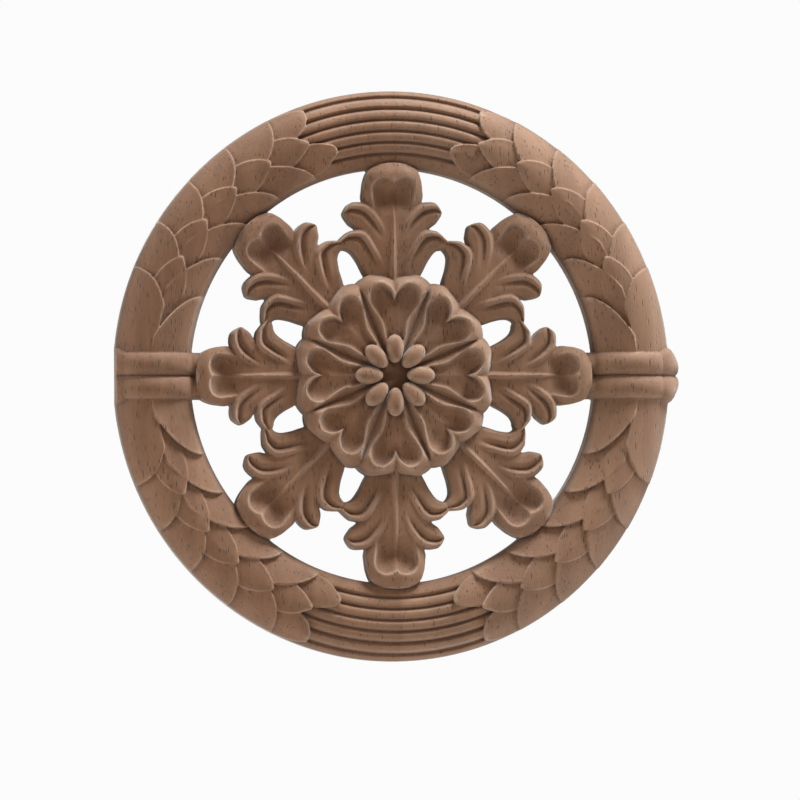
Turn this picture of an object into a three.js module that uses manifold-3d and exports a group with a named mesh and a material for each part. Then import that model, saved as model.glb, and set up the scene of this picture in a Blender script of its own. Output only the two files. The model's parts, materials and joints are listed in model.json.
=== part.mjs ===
// Carved wood applique: a round openwork rosette with a flat back.
// A laurel wreath is bound by a double strap at the left and right and by reeded bands at the top
// and bottom. Inside it, eight acanthus leaves stand round a flower of eight heart-shaped petals.
// Millimetres. The back lies in the plane y = 0, the carving faces -y, and +z is up.

import * as THREE from 'three';
import { mergeVertices } from 'three/addons/utils/BufferGeometryUtils.js';
import Module from 'manifold-3d';

// Whole board
const GRAIN_SHRINK = 0.981; // width over height: the board has shrunk across its upright grain
const LEFT_TRIM = 0.5; // the left strap is planed off flat this far inside the rim
const WASTE_DEPTH = 2; // timber left behind the carving until its back is planed flat

// Wreath ring
const RING_RADIUS = 100;
const RING_WIDTH = 27.2;
const RING_CROWN_HEIGHT = 12;
const RING_OUTER_EDGE_HEIGHT = 6;
const RING_INNER_EDGE_HEIGHT = 7.6;
const GROUND_DEPTH = 1.1; // how far the scales' ground lies below the crown of the reeds

// Laurel scales of the wreath, counted from a strap towards a band, in degrees round the ring
const SCALE_PITCH = 10.2;
const SCALE_LENGTH = 15.5;
const SCALE_LIFT = 2.2;
const MIDDLE_LANE_RISE = 0.6; // the middle lane lies on the lanes beside it
const SCALE_CROWN = 0.4;
const SCALE_MARGIN = 2.6; // strip along the ring's inner edge where the scales die away

// Reeded bands
const BAND_HALF_ANGLE = 28;
const REED_PITCH = 3.9;
const REED_GROOVES = 6;
const REED_GROOVE_DEPTH = 1.2;
const REED_OUTER_MARGIN = 2.6;

// Straps
const STRAP_WIDTH = 16.2;
const STRAP_HEIGHT = 14;
const STRAP_BEAD_DROP = 2.8;
const STRAP_OVERHANG = 3.7;
const STRAP_END_FLARE = 1.7;
const STRAP_END_HEIGHT = 5.5;
const STRAP_END_RUN = 4; // how far inside the rim a strap's end begins to flare and fall
const STRAP_END_NARROWING = 0.35; // share of its width that the very end loses
const STRAP_NOTCH = 1.2; // how far the groove's end is set back
const STRAP_EDGE_STAND = 3; // how far inside the rim a strap stops following the ring's slope

// Flower
const FLOWER_RADIUS = 34.8;
const PETAL_COUNT = 8;
const PETAL_RIDGE_HEIGHT = 12.8;
const PETAL_RIDGE_FALL = 1.3; // towards the middle of the flower
const PETAL_EDGE_HEIGHT = 8.8;
const PETAL_CUP_HEIGHT = 10.4;
const PETAL_CUP_HOLLOW = 1.2;

// Stamens and the pit between them
const STAMEN_LENGTH = 9.6;
const STAMEN_WIDTH = 5.7;
const STAMEN_INNER_RADIUS = 4.9;
const STAMEN_TOP_HEIGHT = 14.8;
const STAMEN_AXIS_DROP = 3.5; // from its top to the height where it is widest
const STAMEN_ROOT_DEPTH = 1; // how far it stands in below the pit's floor
const PIT_FLOOR_HEIGHT = 8.6;
const PIT_SHARE = 0.2; // share of the flower's radius

// Acanthus leaves, one to each petal
const LEAF_ROOT_TUCK = 1.6; // how far a leaf runs in under the flower
const LEAF_TIP_LAP = 1.7; // how far a leaf tip laps over the ring
const STRAP_LEAF_SHORTFALL = 3.3; // the leaves that meet a strap are this much shorter
const LEAF_ROOT_HEIGHT = 8;
const LEAF_BODY_HEIGHT = 9.5;
const LEAF_CREST_HEIGHT = 12.4;
const LEAF_TIP_HEIGHT = 10.4;
const LEAF_EDGE_DROP = 2.2;
const LOBE_RIM_RISE = 1.4;
const LOBE_CREASE_DEPTH = 1.1;
const LOBE_ROUNDING = 1.1; // how far a lobe's outline lies below its body
const LOBE_END_DROP = 2;
const TIP_PIT_DEPTH = 2.8;
const MIDRIB_WIDTH = 2.8;
const MIDRIB_RISE = 1.1;
const MIDRIB_SHARE = 0.78; // share of the leaf's length that its midrib runs
const MIDRIB_STATION = 0.12; // grid line at the midrib's side

const RING_INNER_RADIUS = RING_RADIUS - RING_WIDTH;
const HALF_PITCH = Math.PI / PETAL_COUNT;

const wasm = await Module();
wasm.setup();

// Turns a closed mesh into a solid, with its shared corners welded and its faces pointing out.
function toSolid(geometry) {
  geometry.deleteAttribute('normal');
  geometry.deleteAttribute('uv');
  const welded = mergeVertices(geometry);
  const corners = welded.index.array;
  const points = welded.attributes.position;
  const a = new THREE.Vector3();
  const b = new THREE.Vector3();
  const c = new THREE.Vector3();
  const kept = [];
  let volume = 0;
  for (let i = 0; i < corners.length; i += 3) {
    const [p, q, r] = [corners[i], corners[i + 1], corners[i + 2]];
    if (p === q || q === r || r === p) continue;
    a.fromBufferAttribute(points, p);
    b.fromBufferAttribute(points, q);
    c.fromBufferAttribute(points, r);
    volume += a.dot(b.cross(c));
    kept.push(p, q, r);
  }
  if (volume < 0) kept.reverse();
  return new wasm.Manifold(new wasm.Mesh({
    numProp: 3,
    vertProperties: new Float32Array(points.array),
    triVerts: new Uint32Array(kept),
  }));
}

// Spreads an even share from 0 to 1 over a list of stations, so that grid lines lie on creases.
function station(stations, share) {
  const place = share * (stations.length - 1);
  const index = Math.min(Math.floor(place), stations.length - 2);
  return THREE.MathUtils.lerp(stations[index], stations[index + 1], place - index);
}

// Pieces that meet edge to edge share their corners exactly, so corners lie on a fine grid.
const FINEST_STEP = 0.001;

function toGrid(value) {
  return Math.round(value / FINEST_STEP) * FINEST_STEP;
}

// Carves a block over the flat back. place(u, v) gives a point across and up the board and its
// height above the back; turn is the block's turn about the middle of the board.
function carve(along, across, turn, place) {
  const block = new THREE.BoxGeometry(1, 1, 1, along.length - 1, across.length - 1, 1);
  const points = block.attributes.position;
  const spot = new THREE.Vector2();
  const middle = new THREE.Vector2();
  for (let i = 0; i < points.count; i++) {
    const u = station(along, points.getX(i) + 0.5);
    const v = station(across, points.getY(i) + 0.5);
    const [x, z, height] = place(u, v);
    spot.set(x, z).rotateAround(middle, turn);
    const rise = points.getZ(i) > 0 ? -height : WASTE_DEPTH;
    points.setXYZ(i, toGrid(spot.x * GRAIN_SHRINK), toGrid(rise), toGrid(spot.y));
  }
  return toSolid(block);
}

function evenStations(count) {
  return Array.from({ length: count + 1 }, (_, i) => i / count);
}

// Wreath ring

// Height of the wreath's rounded section at a radius.
function ringHeight(radius) {
  const share = 2 * (radius - RING_INNER_RADIUS) / RING_WIDTH - 1;
  const edge = share > 0 ? RING_OUTER_EDGE_HEIGHT : RING_INNER_EDGE_HEIGHT;
  const fullness = Math.pow(Math.max(0, 1 - Math.pow(Math.abs(share), 2.2)), 0.8);
  return edge + (RING_CROWN_HEIGHT - edge) * fullness;
}

function groundHeight(radius) {
  return ringHeight(radius) - GROUND_DEPTH;
}

// Reeded bands

function reedHeight(radius) {
  const fromOutside = (RING_RADIUS - REED_OUTER_MARGIN - radius) / REED_PITCH;
  const reed = THREE.MathUtils.clamp(Math.floor(fromOutside), -1, REED_GROOVES - 1);
  const across = THREE.MathUtils.clamp(2 * (fromOutside - reed) - 1, -1, 1);
  const past = reed === -1 || reed === REED_GROOVES - 1;
  const roundness = past && (reed === -1 ? across < 0 : across > 0) ? 0 : across * across;
  return ringHeight(radius) - REED_GROOVE_DEPTH * (1 - Math.sqrt(1 - roundness));
}

const REED_RUN_OUT = 0.18; // share of the band at each end that sinks under the last scales

function reededBand(turn) {
  const radii = [RING_INNER_RADIUS];
  for (let groove = REED_GROOVES - 1; groove >= 0; groove--) {
    const radius = RING_RADIUS - REED_OUTER_MARGIN - groove * REED_PITCH;
    radii.push(radius, radius + REED_PITCH * 0.25, radius + REED_PITCH * 0.75);
  }
  radii.length -= 1;
  radii.push(RING_RADIUS);
  const sweep = THREE.MathUtils.degToRad(BAND_HALF_ANGLE);
  const along = [0, REED_RUN_OUT, 0.34, 0.5, 0.66, 1 - REED_RUN_OUT, 1];
  return carve(radii, along, turn, (radius, v) => {
    const angle = (2 * v - 1) * sweep;
    const runOut = 1 - Math.min(1, Math.min(v, 1 - v) / REED_RUN_OUT);
    const height = reedHeight(radius) - runOut * (GROUND_DEPTH + 0.1);
    return [radius * Math.sin(angle), radius * Math.cos(angle), height];
  });
}

// Laurel scales

// Radii are shares of the ring's width, from its inner edge. A whole scale has two sides of its
// base, two far corners and a tip. A bluntness of 0.5 gives a round end, 1 a pointed one.
const MIDDLE_SCALE = { base: [0.44, 0.56], low: 0.3, high: 0.73, tip: 0.51, bluntness: 1 };
const INNER_LAST = { base: [0.08, 0.45], low: 0.08, high: 0.5, tip: 0.32, bluntness: 0.8 };
const OUTER_LAST = { base: [0.6, 1], low: 0.58, high: 1, tip: 0.9, bluntness: 0.5 };
// The lanes beside the middle one show no more of a scale than its end, from its tip at the ring's
// edge to the side that runs in under the middle lane, which lies its slant further back.
const INNER_LANE = { tip: 0, side: 0.54, firstTip: 22, pitch: 11.6, slant: 13, bend: 1.7 };
const OUTER_LANE = { tip: 1, side: 0.5, firstTip: 22.5, pitch: 10.2, slant: 6, bend: 2.6 };
const LAST_OUTER_TIP = 71;
const LAST_INNER_TIP = 75.5;
const FIRST_MIDDLE_TIP = 28.5;
const LANE_START = 3;
const SCALE_TUCK = 0.5; // how far a side scale runs in under the one before it
const SCALE_SHOULDER = 0.45; // share of a scale's length where it is widest
const SCALE_TIP_SHARE = 0.03; // half the width that a scale's very tip keeps
const SCALE_ROWS = 5;
const TIP_FULLNESS = 2.2;

function scaleEdge(u, base, corner, tip, bluntness) {
  if (u < SCALE_SHOULDER) {
    return THREE.MathUtils.lerp(base, corner, u / SCALE_SHOULDER);
  }
  const past = (u - SCALE_SHOULDER) / (1 - SCALE_SHOULDER);
  const narrowing = Math.pow(Math.max(0, 1 - Math.pow(past, TIP_FULLNESS)), bluntness);
  return THREE.MathUtils.lerp(tip, corner, narrowing);
}

function ringSpot(share, angle, rise, quarter) {
  const radius = RING_INNER_RADIUS + share * RING_WIDTH;
  const turn = THREE.MathUtils.degToRad(angle);
  const fade = THREE.MathUtils.smoothstep(radius, RING_INNER_RADIUS, RING_INNER_RADIUS + SCALE_MARGIN);
  const height = groundHeight(radius) + rise * fade;
  return [quarter.x * radius * Math.cos(turn), quarter.z * radius * Math.sin(turn), height];
}

function wholeScale(kind, tipAngle, rise, quarter) {
  const along = [0, SCALE_SHOULDER, 0.82, 1];
  return carve(along, [-1, 0, 1], 0, (u, v) => {
    const low = scaleEdge(u, kind.base[0], kind.low, kind.tip - SCALE_TIP_SHARE, kind.bluntness);
    const high = scaleEdge(u, kind.base[1], kind.high, kind.tip + SCALE_TIP_SHARE, kind.bluntness);
    const share = THREE.MathUtils.lerp(low, high, (v + 1) / 2);
    const angle = tipAngle - SCALE_LENGTH * (1 - u);
    return ringSpot(share, angle, rise + SCALE_LIFT * u - SCALE_CROWN * v * v, quarter);
  });
}

function laneTip(lane, row) {
  return lane.firstTip + row * lane.pitch;
}

// The end of a scale in a side lane, from the end of the scale before it to its own.
function scaleEnd(lane, row, quarter) {
  const across = [0, 0.19, 0.45, 1];
  const tipAngle = laneTip(lane, row);
  const overlap = 1 - lane.pitch / SCALE_LENGTH;
  return carve(evenStations(row === 0 ? 2 : 1), across, 0, (u, v) => {
    const setBack = lane.slant * Math.pow(v, lane.bend);
    const start = row === 0 ? LANE_START : laneTip(lane, row - 1) - setBack - SCALE_TUCK;
    const angle = THREE.MathUtils.lerp(start, tipAngle - setBack, u);
    const rise = SCALE_LIFT * THREE.MathUtils.lerp(overlap, 1, u);
    return ringSpot(THREE.MathUtils.lerp(lane.tip, lane.side, v), angle, rise, quarter);
  });
}

// The scales of one quarter of the ring, from the strap to the band.
function laurelQuarter(quarter) {
  const scales = [];
  for (let row = 0; row < SCALE_ROWS; row++) {
    scales.push(scaleEnd(INNER_LANE, row, quarter));
    scales.push(scaleEnd(OUTER_LANE, row, quarter));
  }
  for (let row = 0; row < SCALE_ROWS; row++) {
    const tipAngle = FIRST_MIDDLE_TIP + row * SCALE_PITCH;
    scales.push(wholeScale(MIDDLE_SCALE, tipAngle, MIDDLE_LANE_RISE, quarter));
  }
  scales.push(wholeScale(OUTER_LAST, LAST_OUTER_TIP, 0, quarter));
  scales.push(wholeScale(INNER_LAST, LAST_INNER_TIP, 0, quarter));
  return scales;
}

// Straps

const STRAP_STATIONS = [-1, -0.8, -0.3, 0, 0.3, 0.8, 1]; // shares of the half width

function strap(turn) {
  const inner = RING_INNER_RADIUS - STRAP_LEAF_SHORTFALL - 1;
  const onRing = [0, 0.27, 0.67, 0.91].map((share) => RING_INNER_RADIUS + share * RING_WIDTH);
  const pastRing = [0.4, 1].map((share) => RING_RADIUS + share * STRAP_OVERHANG);
  return carve([inner, ...onRing, ...pastRing], STRAP_STATIONS, turn, (radius, v) => {
    const reach = (radius - RING_RADIUS + STRAP_END_RUN) / (STRAP_OVERHANG + STRAP_END_RUN);
    const end = THREE.MathUtils.clamp(reach, 0, 1);
    const flare = STRAP_END_FLARE * Math.sin(Math.PI * end * 0.9);
    const round = 1 - STRAP_END_NARROWING * Math.pow(end, 5);
    const halfWidth = (STRAP_WIDTH / 2 + flare) * round;
    const bead = Math.sqrt(Math.max(0, 1 - Math.pow(2 * Math.abs(v) - 1, 2)));
    const level = RING_RADIUS - STRAP_EDGE_STAND;
    const overRing = THREE.MathUtils.clamp(radius, RING_INNER_RADIUS, level);
    const rise = STRAP_HEIGHT - RING_CROWN_HEIGHT;
    const fall = end * end * (ringHeight(level) + rise - STRAP_END_HEIGHT);
    const height = ringHeight(overRing) + rise - fall - STRAP_BEAD_DROP * (1 - bead);
    return [radius - STRAP_NOTCH * end * (1 - bead), v * halfWidth, height];
  });
}

// Acanthus leaves

// A leaf's plan is drawn in shares: across as a share of the half pitch between two leaves, so
// that a share of 1 lies midway to the next leaf, and along from the leaf's root to its tip.
function leafSpot(across, along, length) {
  const radius = FLOWER_RADIUS - LEAF_ROOT_TUCK + along * length;
  return [across * radius * Math.tan(HALF_PITCH), radius];
}

// Lobe edges, each row a lower and an upper point as [across, along].
const LOWER_LOBE = { reliefStart: 0.12, rows: [
  [[0.62, -0.02], [0.1, -0.02]],
  [[0.71, 0.07], [0.16, 0.13]],
  [[0.76, 0.16], [0.3, 0.27]],
  [[0.83, 0.235], [0.47, 0.42]],
  [[0.91, 0.262], [0.72, 0.425]],
  [[0.985, 0.266], [0.875, 0.385]],
  [[1.06, 0.275], [1.06, 0.33]],
] };
const UPPER_LOBE = { reliefStart: 0.3, rows: [
  [[0.2, -0.02], [0.06, -0.02]],
  [[0.27, 0.16], [0.07, 0.2]],
  [[0.39, 0.3], [0.1, 0.38]],
  [[0.53, 0.385], [0.19, 0.53]],
  [[0.63, 0.45], [0.36, 0.65]],
  [[0.69, 0.49], [0.56, 0.67]],
  [[0.755, 0.53], [0.73, 0.605]],
] };
const BLADE_EDGE = [
  [0.1, -0.02],
  [0.12, 0.2],
  [0.18, 0.4],
  [0.33, 0.57],
  [0.415, 0.68],
  [0.385, 0.79],
  [0.345, 0.87],
  [0.285, 0.94],
  [0.17, 0.985],
];

const LOBE_SIDE = 0.14; // share of a lobe's width over which its lower side is rounded
const LOBE_CREASE = 0.72; // share of a lobe's width where its rolled rim begins
const LOBE_END_SHARE = 0.72; // share of a lobe's length where its end begins to round off
const LOBE_END_ROUNDING = 0.85;

function edgeCurve(points) {
  return new THREE.SplineCurve(points.map(([across, along]) => new THREE.Vector2(across, along)));
}

// Height of a leaf's open surface, which all its lobes share.
function bodyHeight(along) {
  return THREE.MathUtils.lerp(LEAF_ROOT_HEIGHT, LEAF_BODY_HEIGHT, Math.min(1, along / 0.35));
}

// Height along a leaf's spine, from its root under the flower to its rolled tip.
function spineHeight(along) {
  const climb = THREE.MathUtils.smoothstep(along, 0.5, 0.88);
  const roll = THREE.MathUtils.smoothstep(along, 0.9, 1.06);
  return bodyHeight(along) + (LEAF_CREST_HEIGHT - LEAF_BODY_HEIGHT) * climb
    - (LEAF_CREST_HEIGHT - LEAF_TIP_HEIGHT) * roll;
}

// Depth of the heart-shaped hollow behind the rolled tip. It is deepest at TIP_PIT_CENTRE, rises
// steeply to the rolled rim beyond and slowly to the leaf's body before it.
const TIP_PIT_START = 0.52;
const TIP_PIT_CENTRE = 0.76;
const TIP_PIT_REACH = 0.12;
const TIP_PIT_LOBE = 0.12; // share across where each half of the heart is deepest
const TIP_PIT_HALF_WIDTH = 0.17;

function pitDepth(across, along) {
  const beyond = THREE.MathUtils.smoothstep(along, TIP_PIT_CENTRE - 0.06, TIP_PIT_CENTRE + 0.06);
  const fromLobe = (Math.abs(across) - TIP_PIT_LOBE) / TIP_PIT_HALF_WIDTH;
  const sideways = fromLobe < 0 ? fromLobe * beyond : fromLobe;
  const lengthways = Math.max(0, (along - TIP_PIT_CENTRE) / TIP_PIT_REACH);
  const fall = THREE.MathUtils.smoothstep(along, TIP_PIT_START, TIP_PIT_CENTRE);
  return TIP_PIT_DEPTH * fall * Math.sqrt(Math.max(0, 1 - sideways * sideways - lengthways * lengthways));
}

// The middle of a leaf, with its midrib, from the root to the rolled tip.
function leafBlade(turn, length) {
  const edge = edgeCurve(BLADE_EDGE);
  const along = [0, 0.3, 0.48, 0.62, 0.74, 0.88, 1];
  const half = [MIDRIB_STATION, 0.45, 0.75, 1];
  const across = [...half.map((share) => -share).reverse(), 0, ...half];
  return carve(along, across, turn, (u, v) => {
    const rim = edge.getPoint(u);
    const [rimX] = leafSpot(rim.x, rim.y, length);
    const lengthways = THREE.MathUtils.lerp(u * 1.02 - 0.02, rim.y, v * v);
    const fade = THREE.MathUtils.clamp((MIDRIB_SHARE - lengthways) / MIDRIB_SHARE, 0, 1);
    const ribX = MIDRIB_WIDTH / 2 * (0.3 + 0.7 * fade);
    const onRib = Math.abs(v) <= MIDRIB_STATION;
    const beyond = (Math.abs(v) - MIDRIB_STATION) / (1 - MIDRIB_STATION);
    const reach = onRib ? ribX * Math.abs(v) / MIDRIB_STATION : THREE.MathUtils.lerp(ribX, rimX, beyond);
    const ribRise = onRib ? MIDRIB_RISE * Math.sqrt(fade) * (1 - Math.abs(v) / MIDRIB_STATION) : 0;
    const [, z] = leafSpot(0, lengthways, length);
    const roll = Math.pow(Math.abs(v), 4) * LEAF_EDGE_DROP;
    const pit = pitDepth(reach / (z * Math.tan(HALF_PITCH)), lengthways);
    return [Math.sign(v) * reach, z, spineHeight(lengthways) + ribRise - roll - pit];
  });
}

function leafLobe(lobe, side, turn, length) {
  const lower = edgeCurve(lobe.rows.map((row) => row[0]));
  const upper = edgeCurve(lobe.rows.map((row) => row[1]));
  const along = [0, 0.35, 0.52, 0.68, 0.85, 1];
  return carve(along, [0, LOBE_SIDE, LOBE_CREASE, 0.87, 1], turn, (u, v) => {
    const end = Math.max(0, (u - LOBE_END_SHARE) / (1 - LOBE_END_SHARE));
    const width = Math.sqrt(1 - LOBE_END_ROUNDING * end * end);
    const spot = lower.getPoint(u).lerp(upper.getPoint(u), 0.5 + (v - 0.5) * width);
    const [x, z] = leafSpot(spot.x * side, spot.y, length);
    const strength = THREE.MathUtils.smoothstep(u, lobe.reliefStart, lobe.reliefStart + 0.3);
    const inRim = Math.max(0, (v - LOBE_CREASE) / (1 - LOBE_CREASE));
    const toCrease = THREE.MathUtils.clamp((v - LOBE_SIDE) / (LOBE_CREASE - LOBE_SIDE), 0, 1);
    const rim = LOBE_RIM_RISE * Math.sin(Math.PI * inRim) - LOBE_ROUNDING * Math.pow(inRim, 3);
    const crease = LOBE_CREASE_DEPTH * toCrease * toCrease * (1 - inRim);
    const rounding = LOBE_ROUNDING * Math.pow(Math.max(0, 1 - v / LOBE_SIDE), 2);
    const height = bodyHeight(spot.y) + (rim - crease) * strength - rounding;
    return [x, z, height - LOBE_END_DROP * end * end];
  });
}

function acanthusLeaf(index) {
  const turn = index * 2 * HALF_PITCH;
  const root = FLOWER_RADIUS - LEAF_ROOT_TUCK;
  const meetsStrap = index % (PETAL_COUNT / 2) === PETAL_COUNT / 4;
  const tip = RING_INNER_RADIUS + LEAF_TIP_LAP - (meetsStrap ? STRAP_LEAF_SHORTFALL : 0);
  const length = tip - root;
  const pieces = [leafBlade(turn, length)];
  for (const side of [-1, 1]) {
    pieces.push(leafLobe(LOWER_LOBE, side, turn, length));
    pieces.push(leafLobe(UPPER_LOBE, side, turn, length));
  }
  return pieces;
}

// Flower

// Half a petal as rows of [axis], [ridge] and [edge] in shares of the flower's radius, from the
// cleft of the heart round its lobe and back down the groove to the middle of the flower. The last
// number is the edge's height, as a share of the way up from the outline to the ridge.
const PETAL_ROWS = [
  [[0, 0.67], [0, 0.775], [0, 0.965], 0],
  [[0, 0.665], [0.04, 0.865], [0.06, 0.985], 0],
  [[0, 0.66], [0.14, 0.925], [0.16, 1], 0],
  [[0, 0.645], [0.235, 0.89], [0.28, 1], 0],
  [[0, 0.62], [0.27, 0.81], [0.381, 0.92], 0],
  [[0, 0.58], [0.26, 0.735], [0.344, 0.83], 0.5],
  [[0, 0.52], [0.2, 0.645], [0.286, 0.69], 0.15],
  [[0, 0.42], [0.13, 0.535], [0.226, 0.545], 0],
  [[0, 0.3], [0.095, 0.375], [0.153, 0.37], 0.05],
  [[0, 0.14], [0.045, 0.17], [0.07, 0.169], 0.1],
];
const PETAL_RIDGE_SHARE = 0.55; // share of the way from a petal's axis to its edge
const PETAL_GROOVE_START = 0.5; // share of a petal's rows where its edge turns in down the groove

function petal(index) {
  const turn = index * 2 * HALF_PITCH;
  const [axis, ridge, edge] = [0, 1, 2].map((rail) => edgeCurve(PETAL_ROWS.map((row) => row[rail])));
  const lift = edgeCurve(PETAL_ROWS.map((row) => [row[3], 0]));
  const along = [0, 0.13, 0.24, 0.34, 0.444, 0.555, 0.75, 1];
  const half = [0.42, PETAL_RIDGE_SHARE, 1];
  const across = [...half.map((share) => -share).reverse(), 0, ...half];
  return carve(along, across, turn, (u, v) => {
    const crest = ridge.getPoint(u);
    const groove = THREE.MathUtils.smoothstep(u, PETAL_GROOVE_START - 0.06, PETAL_GROOVE_START + 0.1);
    const ridgeHeight = PETAL_RIDGE_HEIGHT - PETAL_RIDGE_FALL * groove;
    const edgeHeight = THREE.MathUtils.lerp(PETAL_EDGE_HEIGHT, ridgeHeight, lift.getPoint(u).x);
    const side = Math.sign(v);
    let spot;
    let height;
    if (Math.abs(v) < PETAL_RIDGE_SHARE) {
      const share = Math.abs(v) / PETAL_RIDGE_SHARE;
      spot = axis.getPoint(u).lerp(crest, share);
      const hollow = PETAL_CUP_HOLLOW * Math.sin(Math.PI * 0.75 * share) * (1 - 0.5 * groove);
      height = THREE.MathUtils.lerp(PETAL_CUP_HEIGHT - hollow, ridgeHeight, Math.pow(share, 8));
    } else {
      const share = (Math.abs(v) - PETAL_RIDGE_SHARE) / (1 - PETAL_RIDGE_SHARE);
      spot = crest.clone().lerp(edge.getPoint(u), share);
      const bend = THREE.MathUtils.lerp(1.8, 0.7, groove);
      height = THREE.MathUtils.lerp(ridgeHeight, edgeHeight, Math.pow(share, bend));
    }
    return [spot.x * side * FLOWER_RADIUS, spot.y * FLOWER_RADIUS, height];
  });
}

function stamen(index) {
  const shape = new THREE.SphereGeometry(0.5, 7, 4);
  const points = shape.attributes.position;
  const turn = index * 2 * HALF_PITCH;
  const spot = new THREE.Vector2();
  const middle = new THREE.Vector2();
  const centre = STAMEN_INNER_RADIUS + STAMEN_LENGTH / 2;
  const axisHeight = STAMEN_TOP_HEIGHT - STAMEN_AXIS_DROP;
  const rootHeight = PIT_FLOOR_HEIGHT - STAMEN_ROOT_DEPTH;
  for (let i = 0; i < points.count; i++) {
    const lengthways = points.getY(i);
    const fullness = 1 + 0.5 * lengthways;
    const x = points.getX(i) * STAMEN_WIDTH * fullness;
    const above = points.getZ(i) > 0;
    const rise = points.getZ(i) * (above ? STAMEN_WIDTH * fullness : 2 * (axisHeight - rootHeight));
    const height = axisHeight + rise;
    spot.set(x, centre + lengthways * STAMEN_LENGTH).rotateAround(middle, turn);
    points.setXYZ(i, spot.x * GRAIN_SHRINK, -height, spot.y);
  }
  return toSolid(shape);
}

function centrePit() {
  const radius = PIT_SHARE * FLOWER_RADIUS;
  const floor = new THREE.CylinderGeometry(radius, radius, PIT_FLOOR_HEIGHT + WASTE_DEPTH, 2 * PETAL_COUNT);
  floor.translate(0, (WASTE_DEPTH - PIT_FLOOR_HEIGHT) / 2, 0);
  floor.scale(GRAIN_SHRINK, 1, 1);
  return toSolid(floor);
}

function flower() {
  const pieces = [centrePit()];
  for (let index = 0; index < PETAL_COUNT; index++) {
    pieces.push(petal(index), stamen(index));
  }
  return pieces;
}

// The whole carving

function carving() {
  const pieces = [reededBand(0), reededBand(Math.PI)];
  for (const x of [-1, 1]) {
    for (const z of [-1, 1]) {
      pieces.push(...laurelQuarter({ x, z }));
    }
  }
  pieces.push(strap(0), strap(Math.PI));
  for (let index = 0; index < PETAL_COUNT; index++) {
    pieces.push(...acanthusLeaf(index));
  }
  pieces.push(...flower());
  const whole = pieces.reduce((body, piece) => body.add(piece));
  const waste = new THREE.BoxGeometry(3 * RING_RADIUS, 2 * WASTE_DEPTH, 3 * RING_RADIUS);
  waste.translate(0, WASTE_DEPTH, 0);
  const trimmed = new THREE.BoxGeometry(RING_RADIUS, RING_RADIUS, RING_RADIUS);
  trimmed.translate((LEFT_TRIM - RING_RADIUS) * GRAIN_SHRINK - RING_RADIUS / 2, 0, 0);
  return whole.subtract(toSolid(waste)).subtract(toSolid(trimmed));
}

function toGeometry(solid) {
  const { vertProperties, triVerts } = solid.getMesh();
  const geometry = new THREE.BufferGeometry();
  geometry.setAttribute('position', new THREE.BufferAttribute(vertProperties, 3));
  geometry.setIndex(new THREE.BufferAttribute(triVerts, 1));
  geometry.computeVertexNormals();
  return geometry;
}

const wood = new THREE.MeshStandardMaterial({ color: 0x7d6450, roughness: 0.75, metalness: 0 });
const rosette = new THREE.Mesh(toGeometry(carving()), wood);
rosette.name = 'rosette';

const applique = new THREE.Group();
applique.add(rosette);
export default applique;
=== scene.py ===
import json
import math

import bpy
import numpy as np
from bpy.props import FloatProperty, FloatVectorProperty, IntProperty, PointerProperty
from mathutils import Matrix, Vector

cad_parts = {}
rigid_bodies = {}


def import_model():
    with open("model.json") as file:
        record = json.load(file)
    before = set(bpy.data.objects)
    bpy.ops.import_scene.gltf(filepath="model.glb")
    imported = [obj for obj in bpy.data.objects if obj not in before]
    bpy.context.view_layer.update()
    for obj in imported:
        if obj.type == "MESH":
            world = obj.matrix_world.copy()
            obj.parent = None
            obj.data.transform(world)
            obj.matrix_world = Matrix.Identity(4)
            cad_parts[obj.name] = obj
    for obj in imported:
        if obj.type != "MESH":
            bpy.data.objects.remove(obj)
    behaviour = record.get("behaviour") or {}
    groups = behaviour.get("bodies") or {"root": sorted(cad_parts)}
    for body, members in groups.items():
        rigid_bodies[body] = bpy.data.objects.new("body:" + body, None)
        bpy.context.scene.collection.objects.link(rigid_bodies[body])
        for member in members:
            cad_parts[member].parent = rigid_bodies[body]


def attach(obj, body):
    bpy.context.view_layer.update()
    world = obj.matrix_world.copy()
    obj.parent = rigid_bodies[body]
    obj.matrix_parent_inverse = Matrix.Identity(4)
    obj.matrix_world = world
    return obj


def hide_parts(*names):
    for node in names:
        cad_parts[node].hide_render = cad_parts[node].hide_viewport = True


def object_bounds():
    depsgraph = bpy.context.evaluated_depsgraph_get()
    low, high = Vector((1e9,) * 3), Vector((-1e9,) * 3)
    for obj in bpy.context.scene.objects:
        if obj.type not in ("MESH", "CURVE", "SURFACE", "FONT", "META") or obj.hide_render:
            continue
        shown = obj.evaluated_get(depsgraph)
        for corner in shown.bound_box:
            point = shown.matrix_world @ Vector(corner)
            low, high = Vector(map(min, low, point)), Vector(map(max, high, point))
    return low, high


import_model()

bl_info = {
    "name": "Carved Wood Applique",
    "version": (1, 0, 0),
    "blender": (4, 5, 0),
    "location": "3D View > Sidebar > Applique",
    "description": "Carves a round openwork rosette of acanthus leaves in a laurel wreath, from raw wood",
    "category": "Add Mesh",
}

MM = 0.001
FRAME_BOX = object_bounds()

# Proportions of the carving. Lengths are in millimetres, seen from the front: x across the board,
# z up it, and a height above the flat back.

PETALS = 8
HALF_PITCH = math.pi / PETALS
TAN_HALF_PITCH = math.tan(HALF_PITCH)

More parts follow.
